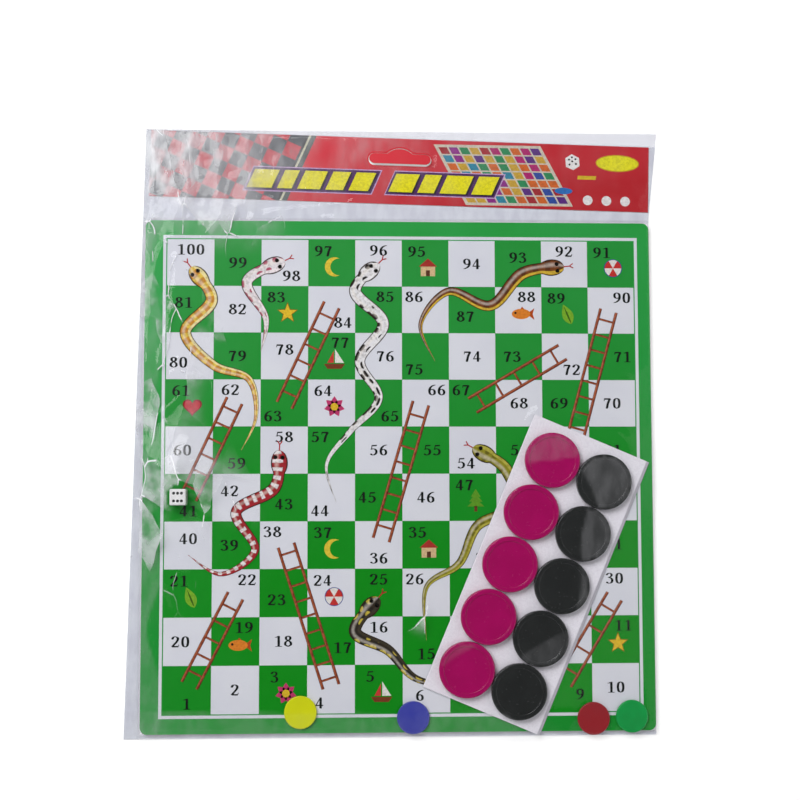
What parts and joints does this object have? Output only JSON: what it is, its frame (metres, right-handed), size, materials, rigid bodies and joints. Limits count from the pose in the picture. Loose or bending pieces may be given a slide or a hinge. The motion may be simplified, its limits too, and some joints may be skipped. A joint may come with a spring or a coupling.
{
  "type": "snakes and ladders board game set",
  "caption": "Square snakes and ladders board in a clear bag with a slotted header card, and a card of draughts, loose counters and a die lying on it under the film.",
  "frame": {"origin": "middle of the bag's underside, on the surface that the set lies on", "axes": "+X to the right of the printed face, +Y towards the header card, +Z out of the printed face"},
  "size_m": [0.2674, 0.3034, 0.0106],
  "materials": {
    "clear_film": "clear glossy film",
    "header_card": "gloss printed card",
    "greyboard": "raw grey board",
    "green_print": "gloss printed paper",
    "white_print": "gloss printed paper",
    "ladder_print": "gloss printed paper",
    "snake_print": "gloss printed paper",
    "red_print": "gloss printed paper",
    "black_print": "gloss printed paper",
    "white_card": "smooth white card",
    "magenta_plastic": "moulded gloss",
    "black_plastic": "moulded gloss",
    "yellow_plastic": "moulded satin",
    "blue_plastic": "moulded satin",
    "red_plastic": "moulded satin",
    "green_plastic": "moulded satin",
    "white_plastic": "moulded gloss"
  },
  "bodies": {
    "bagged_board": {"bag_back_film": "clear_film", "bag_front_film": "clear_film", "header_card": "header_card", "board_core": "greyboard", "board_front_print": "green_print", "white_squares": "white_print", "ladders": "ladder_print", "snakes": "snake_print", "board_back_print": "red_print", "back_squares": "black_print"},
    "hang_tab": {"hang_tab": "header_card"},
    "draughts_card": {"draughts_card": "white_card"},
    "draught_magenta_1": {"draught_magenta_1": "magenta_plastic"},
    "draught_magenta_2": {"draught_magenta_2": "magenta_plastic"},
    "draught_magenta_3": {"draught_magenta_3": "magenta_plastic"},
    "draught_magenta_4": {"draught_magenta_4": "magenta_plastic"},
    "draught_magenta_5": {"draught_magenta_5": "magenta_plastic"},
    "draught_black_1": {"draught_black_1": "black_plastic"},
    "draught_black_2": {"draught_black_2": "black_plastic"},
    "draught_black_3": {"draught_black_3": "black_plastic"},
    "draught_black_4": {"draught_black_4": "black_plastic"},
    "draught_black_5": {"draught_black_5": "black_plastic"},
    "counter_yellow": {"counter_yellow": "yellow_plastic"},
    "counter_blue": {"counter_blue": "blue_plastic"},
    "counter_red": {"counter_red": "red_plastic"},
    "counter_green": {"counter_green": "green_plastic"},
    "die": {"die": "white_plastic"}
  },
  "joints": [
    {"name": "hang_tab_hinge", "type": "hinge", "parent": "bagged_board", "child": "hang_tab", "pos_m": [0.00206, 0.14292, 0.00028], "axis": [-0.9997, 0.0262, 0], "range_deg": [-90, 75]},
    {"name": "draughts_card_slide", "type": "slide", "parent": "bagged_board", "child": "draughts_card", "axis": [0, 1, 0], "range_m": [0, 0.012]},
    {"name": "draught_magenta_1_lift", "type": "slide", "parent": "draughts_card", "child": "draught_magenta_1", "axis": [0, 0, 1], "range_m": [0, 0.0012]},
    {"name": "draught_magenta_2_lift", "type": "slide", "parent": "draughts_card", "child": "draught_magenta_2", "axis": [0, 0, 1], "range_m": [0, 0.0012]},
    {"name": "draught_magenta_3_lift", "type": "slide", "parent": "draughts_card", "child": "draught_magenta_3", "axis": [0, 0, 1], "range_m": [0, 0.0012]},
    {"name": "draught_magenta_4_lift", "type": "slide", "parent": "draughts_card", "child": "draught_magenta_4", "axis": [0, 0, 1], "range_m": [0, 0.0012]},
    {"name": "draught_magenta_5_lift", "type": "slide", "parent": "draughts_card", "child": "draught_magenta_5", "axis": [0, 0, 1], "range_m": [0, 0.0012]},
    {"name": "draught_black_1_lift", "type": "slide", "parent": "draughts_card", "child": "draught_black_1", "axis": [0, 0, 1], "range_m": [0, 0.0012]},
    {"name": "draught_black_2_lift", "type": "slide", "parent": "draughts_card", "child": "draught_black_2", "axis": [0, 0, 1], "range_m": [0, 0.0012]},
    {"name": "draught_black_3_lift", "type": "slide", "parent": "draughts_card", "child": "draught_black_3", "axis": [0, 0, 1], "range_m": [0, 0.0012]},
    {"name": "draught_black_4_lift", "type": "slide", "parent": "draughts_card", "child": "draught_black_4", "axis": [0, 0, 1], "range_m": [0, 0.0012]},
    {"name": "draught_black_5_lift", "type": "slide", "parent": "draughts_card", "child": "draught_black_5", "axis": [0, 0, 1], "range_m": [0, 0.0012]},
    {"name": "counter_yellow_slide", "type": "slide", "parent": "bagged_board", "child": "counter_yellow", "axis": [1, 0, 0], "range_m": [-0.01, 0.01]},
    {"name": "counter_blue_slide", "type": "slide", "parent": "bagged_board", "child": "counter_blue", "axis": [1, 0, 0], "range_m": [-0.01, 0.01]},
    {"name": "counter_red_slide", "type": "slide", "parent": "bagged_board", "child": "counter_red", "axis": [0, 1, 0], "range_m": [0, 0.01]},
    {"name": "counter_green_slide", "type": "slide", "parent": "bagged_board", "child": "counter_green", "axis": [0, 1, 0], "range_m": [0, 0.01]},
    {"name": "die_slide", "type": "slide", "parent": "bagged_board", "child": "die", "axis": [0, 1, 0], "range_m": [-0.006, 0.006]}
  ]
}
